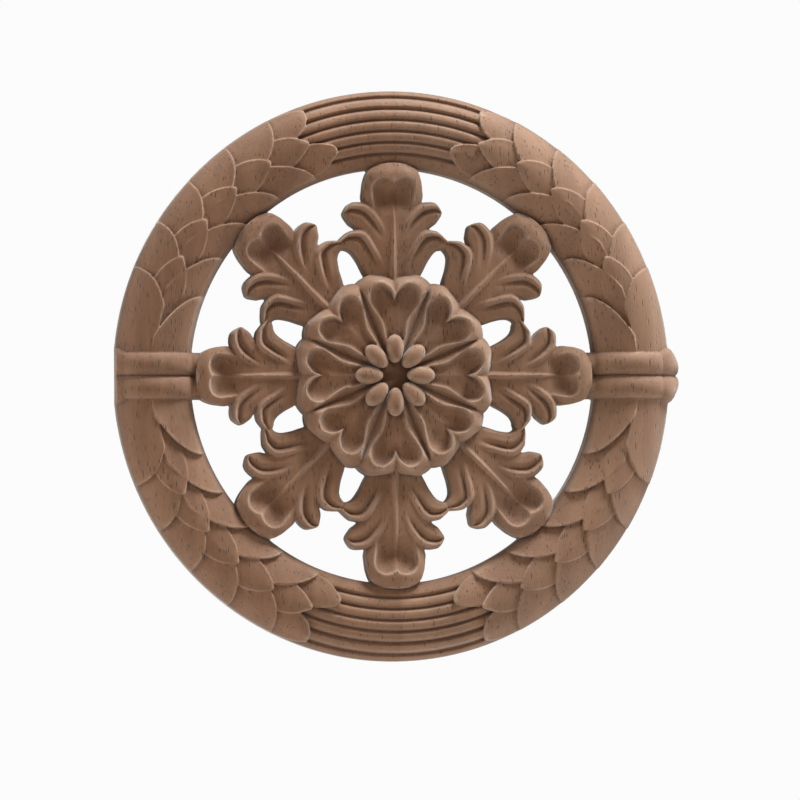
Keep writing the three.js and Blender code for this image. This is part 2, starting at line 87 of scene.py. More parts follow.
# Lobe edges of a leaf, each row a lower and an upper point. Across is a share of the way to the
# line midway to the next leaf, along a share of the leaf from its root to its tip.
LOWER_LOBE = [
    [(0.62, -0.02), (0.1, -0.02)],
    [(0.71, 0.07), (0.16, 0.13)],
    [(0.76, 0.16), (0.3, 0.27)],
    [(0.83, 0.235), (0.47, 0.42)],
    [(0.91, 0.262), (0.72, 0.425)],
    [(0.985, 0.266), (0.875, 0.385)],
    [(1.06, 0.275), (1.06, 0.33)],
]
UPPER_LOBE = [
    [(0.2, -0.02), (0.06, -0.02)],
    [(0.27, 0.16), (0.07, 0.2)],
    [(0.39, 0.3), (0.1, 0.38)],
    [(0.53, 0.385), (0.19, 0.53)],
    [(0.63, 0.45), (0.36, 0.65)],
    [(0.708, 0.486), (0.595, 0.666)],
    [(0.762, 0.53), (0.742, 0.602)],
]
BLADE_EDGE = [(0.1, -0.02), (0.12, 0.2), (0.18, 0.4), (0.33, 0.57), (0.415, 0.68), (0.385, 0.79),
              (0.345, 0.87), (0.285, 0.94), (0.17, 0.985)]

# Half a petal: axis, ridge and edge in shares of the flower's radius, and the edge's height as a
# share of the way up to the ridge, from the cleft of the heart back down to the flower's middle.
PETAL_ROWS = [
    [(0, 0.67), (0, 0.775), (0, 0.965), 0],
    [(0, 0.665), (0.04, 0.865), (0.06, 0.985), 0],
    [(0, 0.66), (0.14, 0.925), (0.16, 1), 0],
    [(0, 0.645), (0.235, 0.89), (0.28, 1), 0],
    [(0, 0.62), (0.27, 0.81), (0.381, 0.92), 0],
    [(0, 0.58), (0.26, 0.735), (0.344, 0.83), 0.5],
    [(0, 0.52), (0.2, 0.645), (0.286, 0.69), 0.15],
    [(0, 0.42), (0.13, 0.535), (0.226, 0.545), 0],
    [(0, 0.3), (0.095, 0.375), (0.153, 0.37), 0.05],
    [(0, 0.14), (0.045, 0.17), (0.07, 0.169), 0.1],
]

# Laurel scales, radii as shares of the ring's width from its inner edge, angles in degrees
MIDDLE_SCALE = dict(base=(0.44, 0.56), low=0.3, high=0.73, tip=0.51, bluntness=1.0)
INNER_LAST = dict(base=(0.08, 0.45), low=0.08, high=0.5, tip=0.32, bluntness=0.8)
OUTER_LAST = dict(base=(0.6, 1.0), low=0.58, high=1.0, tip=0.9, bluntness=0.5)
INNER_LANE = dict(tip=0.0, side=0.54, first=22, pitch=11.6, slant=13, bend=1.7)
OUTER_LANE = dict(tip=1.0, side=0.5, first=22.5, pitch=10.2, slant=6, bend=2.6)
LANE_START = 3
FIRST_MIDDLE_TIP, LAST_OUTER_TIP, LAST_INNER_TIP = 28.5, 71, 75.5
SCALE_ROWS = 5


class AppliqueSizes(bpy.types.PropertyGroup):
    """Sizes of the carving, in metres"""
    ring_radius: FloatProperty(name="Ring radius", description="Outer radius of the wreath ring, upright",
                               default=0.1, min=0.05, max=0.2, unit="LENGTH")
    ring_width: FloatProperty(name="Ring width", description="Width of the ring", default=0.0272,
                              unit="LENGTH")
    crown_height: FloatProperty(name="Ring height", description="Height of the ring's crown over the back",
                                default=0.012, unit="LENGTH")
    strap_width: FloatProperty(name="Strap width", description="Width of a double strap", default=0.0162,
                               unit="LENGTH")
    strap_height: FloatProperty(name="Strap height", description="Height of a strap over the back",
                                default=0.014, unit="LENGTH")
    flower_radius: FloatProperty(name="Flower radius", description="Radius of the centre flower",
                                 default=0.0348, unit="LENGTH")
    ridge_height: FloatProperty(name="Petal ridge height", description="Height of a petal's raised rim",
                                default=0.0128, unit="LENGTH")
    across_grain: FloatProperty(name="Width over height",
                                description="How much narrower the board is across its grain",
                                default=0.981, min=0.9, max=1.0, subtype="FACTOR")
    voxel: FloatProperty(name="Carving fineness", description="Finest detail that the carving keeps",
                         default=0.00027, min=0.0001, max=0.001, unit="LENGTH", precision=5)
    sanding: IntProperty(name="Sanding", description="How often the carved surface is smoothed", default=3,
                         min=0, max=20)
    triangles: IntProperty(name="Triangles", description="Triangles of the finished carving", default=190000,
                           min=20000, max=198000)


class AppliqueWood(bpy.types.PropertyGroup):
    """Colours and finish of the raw wood"""
    body: FloatVectorProperty(name="Wood", description="Colour of the sanded wood", subtype="COLOR", size=3,
                              min=0, max=1, default=(0.29, 0.148, 0.077))
    dark: FloatVectorProperty(name="Dark grain", description="Colour of the darker growth bands",
                              subtype="COLOR", size=3, min=0, max=1, default=(0.21, 0.1, 0.049))
    # Pale colour for raised edges: partly sanding wear, partly a painted highlight where light would catch
    # the edges.
    rim: FloatVectorProperty(name="Worn edges", description="Colour of edges that the sanding paled",
                             subtype="COLOR", size=3, min=0, max=1, default=(0.48, 0.33, 0.23))
    # Dark colour for hollows and low ground: partly dust, partly painted shade where shade would fall in
    # them.
    crevice_shade_and_dust: FloatVectorProperty(name="Crevices", description="Colour of the dusty hollows", subtype="COLOR",
                                 size=3, min=0, max=1, default=(0.125, 0.054, 0.025))
    pore: FloatVectorProperty(name="Pores", description="Colour of the open pores", subtype="COLOR", size=3,
                              min=0, max=1, default=(0.07, 0.034, 0.02))
    roughness: FloatProperty(name="Roughness", description="Roughness of the bare wood", default=0.72, min=0,
                             max=1, subtype="FACTOR")


# Curves and grids

def smoothstep(x, low, high):
    t = np.clip((x - low) / (high - low), 0, 1)
    return t * t * (3 - 2 * t)


def mix(a, b, t):
    return a + (b - a) * t


def curve(points, share):
    """Points on a smooth curve through the given points, at shares from 0 to 1."""
    p = np.asarray(points, float)
    place = np.clip(share, 0, 1) * (len(p) - 1)
    i = np.minimum(place.astype(int), len(p) - 2)
    t = (place - i)[..., None]
    a, b = p[np.maximum(i - 1, 0)], p[i]
    c, d = p[i + 1], p[np.minimum(i + 2, len(p) - 1)]
    m, n = (c - a) / 2, (d - b) / 2
    return (2 * b - 2 * c + m + n) * t ** 3 + (-3 * b + 3 * c - 2 * m - n) * t ** 2 + m * t + b


def stations(marks, step):
    """Stations through the marks, with more between them until none is wider than step."""
    out = [marks[0]]
    for a, b in zip(marks, marks[1:]):
        count = max(1, math.ceil((b - a) / step - 1e-9))
        out += [a + (b - a) * k / count for k in range(1, count + 1)]
    return np.array(out)


def deselect():
    for piece in bpy.context.selected_objects:
        piece.select_set(False)


def select(pieces):
    deselect()
    for piece in pieces:
        piece.select_set(True)
    bpy.context.view_layer.objects.active = pieces[0]


def points_of(mesh):
    co = np.empty(len(mesh.vertices) * 3)
    mesh.vertices.foreach_get("co", co)
    return co.reshape(-1, 3)


def move_points(mesh, co):
    mesh.vertices.foreach_set("co", co.ravel())
    mesh.update()


def carve_block(name, along, across, place):
    """A block on the back plane: a grid whose points place(u, v) moves to the carved surface,
    drawn down to the back and closed there."""
    u, v = np.meshgrid(along, across, indexing="ij")
    x, z, height = np.broadcast_arrays(*place(u, v))
    deselect()
    bpy.ops.mesh.primitive_grid_add(x_subdivisions=len(along) - 1, y_subdivisions=len(across) - 1, size=1)
    block = bpy.context.active_object
    block.name = name
    co = points_of(block.data)
    i = np.rint((co[:, 0] + 0.5) * (len(along) - 1)).astype(int)
    j = np.rint((co[:, 1] + 0.5) * (len(across) - 1)).astype(int)
    co[:, 0], co[:, 1], co[:, 2] = x[i, j] * MM, -height[i, j] * MM, z[i, j] * MM
    move_points(block.data, co)
    bpy.ops.object.mode_set(mode="EDIT")
    bpy.ops.mesh.select_all(action="SELECT")
    bpy.ops.mesh.extrude_region_move(TRANSFORM_OT_translate={"value": (0, 0.02, 0)})
    bpy.ops.transform.resize(value=(1, 0, 1), center_override=(0, 0, 0))
    bpy.ops.object.mode_set(mode="OBJECT")
    return block


def turned_copies(blocks, angles):
    """Copies of the blocks, turned about the middle of the board, each with its own mesh."""
    for angle in angles:
        select(blocks)
        bpy.ops.object.duplicate()
        bpy.ops.transform.rotate(value=math.radians(angle), orient_axis="Y", center_override=(0, 0, 0))
        bpy.ops.object.transform_apply(location=True, rotation=True, scale=True)


def mirrored_copies(blocks, scales):
    """Copies of the blocks, mirrored about the middle lines of the board."""
    for scale in scales:
        select(blocks)
        bpy.ops.object.duplicate()
        bpy.ops.transform.resize(value=scale, center_override=(0, 0, 0))
        bpy.ops.object.transform_apply(location=True, rotation=True, scale=True)


class Ring:
    """Radii and heights of the wreath ring, in millimetres, from the panel's sizes."""

    edge_outer, edge_inner = 6.0, 7.6
    ground = 1.1
    dome, dome_fullness, inner_fade = 2.2, 0.8, 2.6

    def __init__(self):
        sizes = bpy.context.scene.applique_sizes
        self.outer = sizes.ring_radius / MM
        self.width = sizes.ring_width / MM
        self.inner = self.outer - self.width
        self.crown = sizes.crown_height / MM

    def height(self, radius):
        share = 2 * (radius - self.inner) / self.width - 1
        edge = np.where(share > 0, self.edge_outer, self.edge_inner)
        fullness = np.maximum(0, 1 - np.abs(share) ** self.dome) ** self.dome_fullness
        return edge + (self.crown - edge) * fullness

    def spot(self, share, angle, rise):
        radius = self.inner + share * self.width
        turn = np.radians(angle)
        fade = smoothstep(radius, self.inner, self.inner + self.inner_fade)
        return radius * np.cos(turn), radius * np.sin(turn), self.height(radius) - self.ground + rise * fade


class APPLIQUE_OT_wreath(bpy.types.Operator):
    """Carve the wreath: reeded bands at the top and bottom, and three lanes of laurel scales"""
    bl_idname = "applique.wreath"
    bl_label = "Wreath"

    pitch, grooves, margin, depth = 3.9, 6, 2.6, 1.5
    bead_share, groove_wall = 0.3, (0.45, 0.95)
    half_angle, run_out, sunk_end = 28.0, 0.18, 0.1
    reed_step, band_step, scale_step, scale_side_step, tip_crowding = 0.35, 0.012, 0.05, 0.1, 1.6
    scale_pitch, scale_length, lift, crown = 10.2, 15.5, 2.2, 0.3
    shoulder, fullness, tuck = 0.45, 2.2, 0.5
    middle_rise, tip_share, side_roll, end_roll = 0.6, 0.015, 0.2, 0.15
    roll_beside, roll_along, roll_at_end = (0.72, 0.95), (0.25, 0.6), (0.85, 1.0)

    def reeded_band(self, ring):
        radii = [ring.inner]
        for groove in range(self.grooves - 1, -1, -1):
            radii.append(ring.outer - self.margin - groove * self.pitch)
        radii.append(ring.outer)

        def place(radius, v):
            angle = np.radians((2 * v - 1) * self.half_angle)
            place_in = (ring.outer - self.margin - radius) / self.pitch
            reed = np.clip(np.floor(place_in), -1, self.grooves - 1)
            across = np.clip(2 * (place_in - reed) - 1, -1, 1)
            past = ((reed == -1) & (across < 0)) | ((reed == self.grooves - 1) & (across > 0))
            across = np.where(past, 0, np.abs(across))
            wall = smoothstep(across, *self.groove_wall)
            drop = self.depth * mix(across ** 2, wall, 1 - self.bead_share)
            sink = 1 - np.clip(np.minimum(v, 1 - v) / self.run_out, 0, 1)
            height = ring.height(radius) - drop - sink * (ring.ground + self.sunk_end)
            return radius * np.sin(angle), radius * np.cos(angle), height

        return carve_block("reeded_band", stations(radii, self.reed_step), stations([0, 1], self.band_step),
                           place)

    def edge(self, u, base, corner, tip, bluntness):
        past = np.clip((u - self.shoulder) / (1 - self.shoulder), 0, 1)
        before = mix(base, corner, np.clip(u / self.shoulder, 0, 1))
        beyond = mix(tip, corner, np.maximum(0, 1 - past ** self.fullness) ** bluntness)
        return np.where(u < self.shoulder, before, beyond)

    def whole_scale(self, ring, kind, tip_angle, rise):
        inner, outer = kind["base"]
        tip, bluntness = kind["tip"], kind["bluntness"]

        def place(u, v):
            low = self.edge(u, inner, kind["low"], tip - self.tip_share, bluntness)
            high = self.edge(u, outer, kind["high"], tip + self.tip_share, bluntness)
            share = mix(low, high, (v + 1) / 2)
            angle = tip_angle - self.scale_length * (1 - u)
            side = smoothstep(np.abs(v), *self.roll_beside) * smoothstep(u, *self.roll_along)
            height = rise + self.lift * u - self.crown * v * v + self.side_roll * side
            return ring.spot(share, angle, height)

        to_tip = (1 - stations([0.06, 1], self.scale_step)) ** self.tip_crowding
        u = np.concatenate([stations([0, self.shoulder], self.scale_step), 1 - (1 - self.shoulder) * to_tip])
        return carve_block("laurel_scale", u, stations([-1, 1], self.scale_side_step), place)

    def scale_end(self, ring, lane, row):
        tip_angle = lane["first"] + row * lane["pitch"]
        overlap = 1 - lane["pitch"] / self.scale_length

        def place(u, v):
            set_back = lane["slant"] * v ** lane["bend"]
            start = LANE_START if row == 0 else tip_angle - lane["pitch"] - set_back - self.tuck
            angle = mix(start, tip_angle - set_back, u)
            rise = self.lift * mix(overlap, 1, u) + self.end_roll * smoothstep(u, *self.roll_at_end)
            return ring.spot(mix(lane["tip"], lane["side"], v), angle, rise)

        step = self.scale_step
        return carve_block("laurel_scale_end", stations([0, 0.8, 1], step), stations([0, 1], step), place)

    def execute(self, context):
        ring = Ring()
        band = self.reeded_band(ring)
        turned_copies([band], [180])
        quarter = []
        for row in range(SCALE_ROWS):
            quarter.append(self.scale_end(ring, INNER_LANE, row))
            quarter.append(self.scale_end(ring, OUTER_LANE, row))
            tip = FIRST_MIDDLE_TIP + row * self.scale_pitch
            quarter.append(self.whole_scale(ring, MIDDLE_SCALE, tip, self.middle_rise))
        quarter.append(self.whole_scale(ring, OUTER_LAST, LAST_OUTER_TIP, 0))
        quarter.append(self.whole_scale(ring, INNER_LAST, LAST_INNER_TIP, 0))
        mirrored_copies(quarter, [(-1, 1, 1), (1, 1, -1), (-1, 1, -1)])
        return {"FINISHED"}


class APPLIQUE_OT_straps(bpy.types.Operator):
    """Carve the double straps that bind the wreath at the left and right"""
    bl_idname = "applique.straps"
    bl_label = "Straps"

    drop, overhang, flare, flare_turn, notch = 2.8, 3.7, 1.7, 0.9, 1.2
    narrowing, narrowing_power, step, side_step = 0.35, 5, 0.5, 0.05
    end_height, end_run, stand, inner_lap = 5.5, 4.0, 3.0, 4.3

    def execute(self, context):
        ring = Ring()
        sizes = context.scene.applique_sizes
        half, rise = sizes.strap_width / MM / 2, sizes.strap_height / MM - ring.crown

        def place(radius, v):
            end = np.clip((radius - ring.outer + self.end_run) / (self.overhang + self.end_run), 0, 1)
            flared = half + self.flare * np.sin(math.pi * end * self.flare_turn)
            width = flared * (1 - self.narrowing * end ** self.narrowing_power)
            bead = np.sqrt(np.maximum(0, 1 - (2 * np.abs(v) - 1) ** 2))
            level = ring.outer - self.stand
            fall = end ** 2 * (ring.height(level) + rise - self.end_height)
            height = ring.height(np.clip(radius, ring.inner, level)) + rise - fall - self.drop * (1 - bead)
            return radius - self.notch * end * (1 - bead), v * width, height

        marks = [ring.inner - self.inner_lap, ring.outer - self.end_run, ring.outer + self.overhang]
        across = np.sin(np.pi / 2 * stations([-1, 1], self.side_step)) * 0.5 + 0.5
        across = np.concatenate([-across[::-1], across[1:]])
        block = carve_block("strap", stations(marks, self.step), across, place)
        turned_copies([block], [180])
        return {"FINISHED"}


class APPLIQUE_OT_leaves(bpy.types.Operator):
    """Carve the eight acanthus leaves, each a blade with two lobes a side and a rolled tip"""
    bl_idname = "applique.leaves"
    bl_label = "Leaves"

    root_tuck, tip_lap, strap_shortfall = 1.6, 1.7, 3.3
    root_height, body_height, crest_height, tip_height = 8.0, 9.5, 12.4, 10.4
    root_climb, crest_climb, tip_roll = 0.35, (0.5, 0.88), (0.9, 1.06)
    hollow_depth, hollow_lobe, hollow_width, hollow_middle, hollow_reach = 4.0, 0.12, 0.17, 0.76, 0.12
    hollow_parting, hollow_fall = (0.7, 0.82), (0.53, 0.75)
    rib_width, rib_rise, rib_share, rib_station, rib_end, rib_fullness = 2.8, 1.4, 0.8, 0.12, 0.3, 0.8
    blade_start, edge_drop, rim_rise, rim_lean, relief_run = -0.02, 2.2, 1.2, 0.9, 0.3
    side_share, crease, crease_depth, crease_sharpness, crease_end = 0.2, 0.66, 0.9, 3.5, 0.5
    end_share, end_rounding, end_drop, swell, rounding, rim_rounding = 0.79, 0.9, 1.1, 0.45, 1.5, 0.5
    blade_steps, lobe_steps = (0.014, 0.035), (0.02, 0.04)

    def spot(self, across, along):
        radius = self.root + along * self.length
        return across * radius * TAN_HALF_PITCH, radius

    def body(self, along):
        return mix(self.root_height, self.body_height, np.minimum(1, along / self.root_climb))

    def spine(self, along):
        climb = smoothstep(along, *self.crest_climb) * (self.crest_height - self.body_height)
        roll = smoothstep(along, *self.tip_roll) * (self.crest_height - self.tip_height)
        return self.body(along) + climb - roll

    def hollow(self, across, along):
        """Depth of the heart-shaped hollow behind the rolled tip."""
        beyond = smoothstep(along, *self.hollow_parting)
        from_lobe = (np.abs(across) - self.hollow_lobe) / self.hollow_width
        sideways = np.where(from_lobe < 0, from_lobe * beyond, from_lobe)
        lengthways = np.maximum(0, (along - self.hollow_middle) / self.hollow_reach)
        fall = smoothstep(along, *self.hollow_fall)
        return self.hollow_depth * fall * np.sqrt(np.maximum(0, 1 - sideways ** 2 - lengthways ** 2))

    def blade(self):
        def place(u, v):
            rim = curve(BLADE_EDGE, u)
            rim_x, _ = self.spot(rim[..., 0], rim[..., 1])
            side = np.abs(v)
            lengthways = mix(mix(self.blade_start, 1, u), rim[..., 1], v * v)
            fade = np.clip((self.rib_share - lengthways) / self.rib_share, 0, 1)
            rib_x = self.rib_width / 2 * mix(self.rib_end, 1, fade)
            on_rib = side <= self.rib_station
            toward_side = np.minimum(1, side / self.rib_station)
            beyond = (side - self.rib_station) / (1 - self.rib_station)
            reach = np.where(on_rib, rib_x * side / self.rib_station, mix(rib_x, rim_x, beyond))
            rib_height = self.rib_rise * np.sqrt(fade) * (1 - toward_side) ** self.rib_fullness
            rib = np.where(on_rib, rib_height, 0)
            _, z = self.spot(0, lengthways)
            roll = side ** 4 * self.edge_drop
            hollow = self.hollow(reach / (z * TAN_HALF_PITCH), lengthways)
            return np.sign(v) * reach, z, self.spine(lengthways) + rib - roll - hollow

        along_step, across_step = self.blade_steps
        across = stations([-1, -self.rib_station, 0, self.rib_station, 1], across_step)
        return carve_block("leaf_blade", stations([0, 1], along_step), across, place)

    def lobe(self, name, rows, relief_start, side):
        lower, upper = [row[0] for row in rows], [row[1] for row in rows]

        def place(u, v):
            end = np.maximum(0, (u - self.end_share) / (1 - self.end_share))
            width = np.sqrt(1 - self.end_rounding * end ** 2)
            share = 0.5 + (v - 0.5) * width
            point = mix(curve(lower, u), curve(upper, u), share[..., None])
            x, z = self.spot(point[..., 0] * side, point[..., 1])
            strength = smoothstep(u, relief_start, relief_start + self.relief_run)
            in_rim = np.clip((v - self.crease) / (1 - self.crease), 0, 1)
            to_crease = np.clip((v - self.side_share) / (self.crease - self.side_share), 0, 1)
            rolled = self.rim_rounding * self.rounding * in_rim ** 3
            rim = self.rim_rise * np.sin(math.pi * in_rim ** self.rim_lean) - rolled
            closing = 1 - smoothstep(in_rim, 0, self.crease_end)
            crease = self.crease_depth * to_crease ** self.crease_sharpness * closing
            swell = self.swell * np.sin(math.pi * to_crease) ** 2
            under = self.rounding * np.maximum(0, 1 - v / self.side_share) ** 2
            height = self.body(point[..., 1]) + (rim - crease + swell) * strength - under
            return x, z, height - self.end_drop * end ** 2

        along_step, across_step = self.lobe_steps
        across = stations([0, self.crease, 1], across_step)
        return carve_block(name, stations([0, 1], along_step), across, place)

    def leaf(self, context, meets_strap):
        ring = Ring()
        self.root = context.scene.applique_sizes.flower_radius / MM - self.root_tuck
        self.length = ring.inner + self.tip_lap - (self.strap_shortfall if meets_strap else 0) - self.root
        blocks = [self.blade()]
        for side in (-1, 1):
            blocks.append(self.lobe("leaf_lower_lobe", LOWER_LOBE, 0.12, side))
            blocks.append(self.lobe("leaf_upper_lobe", UPPER_LOBE, 0.3, side))
        return blocks

    def execute(self, context):
        turned_copies(self.leaf(context, False), [45, 135, 180, 225, 315])
        level = self.leaf(context, True)
        select(level)
        bpy.ops.transform.rotate(value=math.radians(90), orient_axis="Y", center_override=(0, 0, 0))
        bpy.ops.object.transform_apply(location=True, rotation=True, scale=True)
        turned_copies(level, [180])
        return {"FINISHED"}


class APPLIQUE_OT_flower(bpy.types.Operator):
    """Carve the flower: eight cupped heart-shaped petals round eight egg-shaped stamens"""
    bl_idname = "applique.flower"
    bl_label = "Flower"

    ridge_fall, edge_height, cup_height, cup_hollow = 1.3, 8.8, 10.4, 1.2
    ridge_share, cup_turn, cup_wall, shallowing = 0.55, 0.75, 8, 0.5
    groove, slope_bends, petal_step = (0.44, 0.6), (2.0, 0.9), 0.02
    stamen_length, stamen_width, stamen_inner, stamen_axis, stamen_root = 10.0, 6.1, 4.3, 11.3, 7.6
    stamen_fullness, stamen_top = 0.15, 0.9
    pit_floor, pit_share = 9.0, 0.2

    def petal(self, radius, ridge_top):
        axis, ridge, edge = ([row[rail] for row in PETAL_ROWS] for rail in range(3))
        lifts = [(row[3], 0) for row in PETAL_ROWS]

        def place(u, v):
            side = np.abs(v)
            crest, rim = curve(ridge, u), curve(edge, u)
            groove = smoothstep(u, *self.groove)
            top = ridge_top - self.ridge_fall * groove
            edge_top = mix(self.edge_height, top, curve(lifts, u)[..., 0])
            inside = np.clip(side / self.ridge_share, 0, 1)
            outside = np.clip((side - self.ridge_share) / (1 - self.ridge_share), 0, 1)
            within = side < self.ridge_share
            spot = np.where(within[..., None], mix(curve(axis, u), crest, inside[..., None]),
                            mix(crest, rim, outside[..., None]))
            depth = self.cup_hollow * (1 - self.shallowing * groove)
            hollow = depth * np.sin(math.pi * self.cup_turn * inside)
            cup = mix(self.cup_height - hollow, top, inside ** self.cup_wall)
            slope = mix(top, edge_top, outside ** mix(*self.slope_bends, groove))
            return spot[..., 0] * np.sign(v) * radius, spot[..., 1] * radius, np.where(within, cup, slope)

        half = np.concatenate([stations([0, 0.4], 0.05), stations([0.42, self.ridge_share], 0.02),
                               stations([0.57, 1], 0.03)])
        across = np.concatenate([-half[:0:-1], half])
        return carve_block("petal", stations([0, 0.6, 1], self.petal_step), across, place)

    def stamen(self):
        deselect()
        bpy.ops.mesh.primitive_uv_sphere_add(segments=32, ring_count=20, radius=0.5)
        egg = bpy.context.active_object
        egg.name = "stamen"
        co = points_of(egg.data)
        length, across, up = co[:, 2].copy(), co[:, 0].copy(), co[:, 1].copy()
        full = 1 + self.stamen_fullness * length
        below = 2 * (self.stamen_axis - self.stamen_root)
        tall = np.where(up > 0, self.stamen_top * self.stamen_width * full, below)
        co[:, 0] = across * self.stamen_width * full * MM
        co[:, 1] = -(self.stamen_axis + up * tall) * MM
        co[:, 2] = (self.stamen_inner + self.stamen_length / 2 + length * self.stamen_length) * MM
        move_points(egg.data, co)
        return egg

    def execute(self, context):
        sizes = context.scene.applique_sizes
        radius = sizes.flower_radius / MM
        around = [360 / PETALS * k for k in range(1, PETALS)]
        turned_copies([self.petal(radius, sizes.ridge_height / MM)], around)
        turned_copies([self.stamen()], around)
        deselect()
        bpy.ops.mesh.primitive_cylinder_add(vertices=64, radius=self.pit_share * radius * MM,
                                            depth=self.pit_floor * MM,
                                            location=(0, -self.pit_floor / 2 * MM, 0),
                                            rotation=(math.pi / 2, 0, 0))
        bpy.context.active_object.name = "pit"
        bpy.ops.object.transform_apply(location=True, rotation=True, scale=True)
        return {"FINISHED"}


# Heights of the carving over a grid of cells

CELL = 0.3  # side of a cell
WALL_FADE = (1.0, 2.5)  # a point this far under the surface above it lies on a wall
LEAST_COVER = 0.05  # least share of wood that a mean height is worked out from
MARGIN = 1.1  # how far the cells reach beyond the carving


def height_field(fine):
    """Height of the carving over each cell of a square grid, zero in the open gaps."""
    reach = int(MARGIN * np.abs(fine[:, [0, 2]]).max() / MM / CELL) + 1
    i = np.floor(fine[:, 0] / MM / CELL).astype(int) + reach
    k = np.floor(fine[:, 2] / MM / CELL).astype(int) + reach
    height = np.zeros((2 * reach, 2 * reach))
    np.maximum.at(height, (i, k), -fine[:, 1] / MM)
    for _ in range(2):
        around = np.stack([np.roll(height, (a, b), (0, 1)) for a in (-1, 0, 1) for b in (-1, 0, 1)])
        near = np.median(around, axis=0)
        height = np.where(height == 0, near, height)
    return height, reach


def look_up(field, points, reach):
    """Value of a field of cells at each point, evened out between the cells' middles."""
    x = points[:, 0] / MM / CELL + reach - 0.5
    z = points[:, 2] / MM / CELL + reach - 0.5
    a, b = np.floor(x).astype(int), np.floor(z).astype(int)
    s, t = x - a, z - b
    return (field[a, b] * (1 - s) * (1 - t) + field[a + 1, b] * s * (1 - t)
            + field[a, b + 1] * (1 - s) * t + field[a + 1, b + 1] * s * t)


def round_outlines(fine, radius=1.2, depth=0.75, thinnest=3):
    """Rounds the arris along every outline: points near an open gap sink, the nearest most."""
    height, reach = height_field(fine)
    gap = height == 0
    distance = np.full(height.shape, radius)
    steps = int(radius / CELL) + 1
    for a in range(-steps, steps + 1):
        for b in range(-steps, steps + 1):
            away = CELL * math.hypot(a, b)
            if away < radius:
                near = np.roll(gap, (a, b), (0, 1))
                distance[near] = np.minimum(distance[near], away)
    share = 1 - look_up(distance, fine, reach) / radius
    drop = radius * (1 - np.sqrt(1 - np.clip(share, 0, 1) ** 2))
    top = np.maximum(look_up(height, fine, reach), thinnest)
    rounded = fine.copy()
    rounded[:, 1] *= 1 - depth * drop / top
    return rounded


def relief(points, height, reach, spread):
    """Height of each point over the mean height of the carving round it, in millimetres.
    spread is how far round it the mean reaches. Open gaps don't count, and it is nothing on the
    walls and the back."""
    wave = np.fft.fftfreq(2 * reach)
    blur = np.exp(-2 * (math.pi * spread / CELL) ** 2 * (wave[:, None] ** 2 + wave[None, :] ** 2))
    share = np.real(np.fft.ifft2(np.fft.fft2(height > 0) * blur))
    mean = np.real(np.fft.ifft2(np.fft.fft2(height) * blur)) / np.maximum(share, LEAST_COVER)
    own = -points[:, 1] / MM
    below = look_up(height, points, reach) - own
    return (own - look_up(mean, points, reach)) * (1 - smoothstep(below, *WALL_FADE))


# Joining and sanding

BLOCKS = ("reeded_band", "laurel_scale", "laurel_scale_end", "strap", "leaf_blade", "leaf_lower_lobe",
          "leaf_upper_lobe", "petal", "stamen", "pit")


class APPLIQUE_OT_sand(bpy.types.Operator):
    """Join the carving into one piece of timber, soften it with sandpaper and give it its finish"""
    bl_idname = "applique.sand"
    bl_label = "Join and sand"

    left_trim = 0.5
    back_arris = 0.25  # what lies this near the back is planed off flush with it
    sanding_strength, sharp_angle = 0.5, 50
    spreads = (("hollows", 0.9), ("ground", 4.0))

    def execute(self, context):
        sizes = context.scene.applique_sizes
        blocks = [piece for piece in context.scene.objects if piece.name.split(".")[0] in BLOCKS]
        if not blocks:
            raise RuntimeError("nothing is carved yet")
        select(blocks)
        bpy.ops.object.join()
        rosette = context.active_object
        rosette.name = rosette.data.name = "rosette_carved"
        bpy.ops.transform.resize(value=(sizes.across_grain, 1, 1), center_override=(0, 0, 0))
        bpy.ops.object.transform_apply(location=True, rotation=True, scale=True)

        remesh = rosette.modifiers.new("One piece", "REMESH")
        remesh.mode = "VOXEL"
        remesh.voxel_size = sizes.voxel
        bpy.ops.object.modifier_apply(modifier=remesh.name)
        smooth = rosette.modifiers.new("Sanding", "SMOOTH")
        smooth.factor = self.sanding_strength
        smooth.iterations = sizes.sanding
        bpy.ops.object.modifier_apply(modifier=smooth.name)
        faces = len(rosette.data.polygons)
        fine = round_outlines(points_of(rosette.data))
        move_points(rosette.data, fine)
        fewer = rosette.modifiers.new("Fewer faces", "DECIMATE")
        fewer.ratio = min(1.0, sizes.triangles / (2 * faces))
        bpy.ops.object.modifier_apply(modifier=fewer.name)

        cut = -(sizes.ring_radius - self.left_trim * MM) * sizes.across_grain
        bpy.ops.object.mode_set(mode="EDIT")
        bpy.ops.mesh.select_all(action="SELECT")
        bpy.ops.mesh.bisect(plane_co=(cut, 0, 0), plane_no=(-1, 0, 0), use_fill=True, clear_outer=True)
        bpy.ops.mesh.select_all(action="SELECT")
        bpy.ops.mesh.quads_convert_to_tris()
        bpy.ops.mesh.normals_make_consistent(inside=False)
        bpy.ops.object.mode_set(mode="OBJECT")
        bpy.ops.object.shade_smooth_by_angle(angle=math.radians(self.sharp_angle))

        co = points_of(rosette.data)
        co = np.clip(co, *map(np.array, FRAME_BOX))
        co[co[:, 1] > -self.back_arris * MM, 1] = 0
        move_points(rosette.data, co)
        height, reach = height_field(fine)
        # The finish reads these relief heights to paint shade in low places and a highlight on raised edges.
        for name, spread in self.spreads:
            layer = rosette.data.attributes.new(name, "FLOAT", "POINT")
            layer.data.foreach_set("value", relief(co, height, reach, spread).astype(np.float32))
        planed = rosette.modifiers.new("Flat back", "WEIGHTED_NORMAL")
        planed.keep_sharp = True
        bpy.ops.object.modifier_apply(modifier=planed.name)

        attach(rosette, "root")
        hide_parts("rosette")
        rosette.data.materials.clear()
        rosette.data.materials.append(RawWood(context.scene.applique_wood).build())
        return {"FINISHED"}


# Finish

